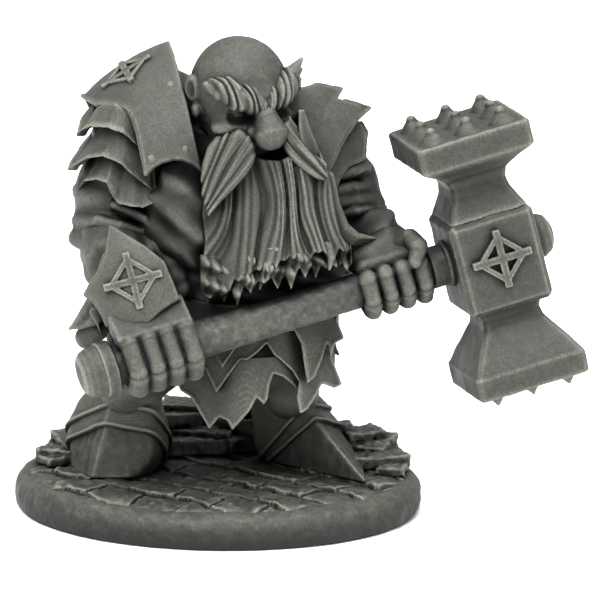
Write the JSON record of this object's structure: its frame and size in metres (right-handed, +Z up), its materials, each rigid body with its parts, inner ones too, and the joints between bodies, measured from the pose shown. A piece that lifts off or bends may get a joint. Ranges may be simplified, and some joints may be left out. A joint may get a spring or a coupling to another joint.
{
  "type": "tabletop miniature figure",
  "caption": "Stout bearded armoured warrior with a two-handed spiked hammer, standing on an oval paved base, for tabletop games",
  "frame": {"origin": "centre of the flat underside of the oval base", "axes": "+Z up; +X along the figure's widest direction, towards the hammer head; -Y is the display side, towards a viewer"},
  "size_m": [0.0359, 0.0213, 0.0311],
  "materials": {
    "base_resin": "unpainted dark grey cast resin, matte",
    "hammer_resin": "unpainted dark grey cast resin, matte",
    "armour_resin": "unpainted dark grey cast resin, matte",
    "figure_resin": "unpainted dark grey cast resin, matte"
  },
  "bodies": {
    "root": {"base_plinth": "base_resin", "beard": "figure_resin", "beard_fringe": "figure_resin", "bracer_emblem": "armour_resin", "bracer_spurs": "armour_resin", "eyebrows": "figure_resin", "haft_collar": "hammer_resin", "haft_end_boss": "hammer_resin", "hammer_block": "hammer_resin", "hammer_emblems": "hammer_resin", "hammer_haft": "hammer_resin", "head": "figure_resin", "left_boot": "figure_resin", "left_boot_cuff": "figure_resin", "left_boot_strap": "figure_resin", "left_forearm": "figure_resin", "left_hand": "figure_resin", "left_lame_1": "armour_resin", "left_lame_2": "armour_resin", "left_leg": "figure_resin", "left_shoulder_plate": "armour_resin", "left_side_rubble": "base_resin", "left_upper_arm": "figure_resin", "lower_spikes": "hammer_resin", "lower_striker": "hammer_resin", "moustache": "figure_resin", "paving": "base_resin", "pommel_band": "hammer_resin", "pommel_cap": "hammer_resin", "right_boot": "figure_resin", "right_boot_cuff": "figure_resin", "right_boot_strap": "figure_resin", "right_bracer": "armour_resin", "right_forearm": "figure_resin", "right_hand": "figure_resin", "right_lame_1": "armour_resin", "right_lame_2": "armour_resin", "right_lame_3": "armour_resin", "right_leg": "figure_resin", "right_shoulder_plate": "armour_resin", "right_side_rubble": "base_resin", "right_upper_arm": "figure_resin", "rock_ledge": "base_resin", "shoulder_emblem": "armour_resin", "shoulder_rivets": "armour_resin", "skirt_lower_tier": "figure_resin", "skirt_middle_tier": "figure_resin", "skirt_upper_tier": "figure_resin", "torso": "figure_resin", "upper_spikes": "hammer_resin", "upper_striker": "hammer_resin"}
  },
  "joints": []
}
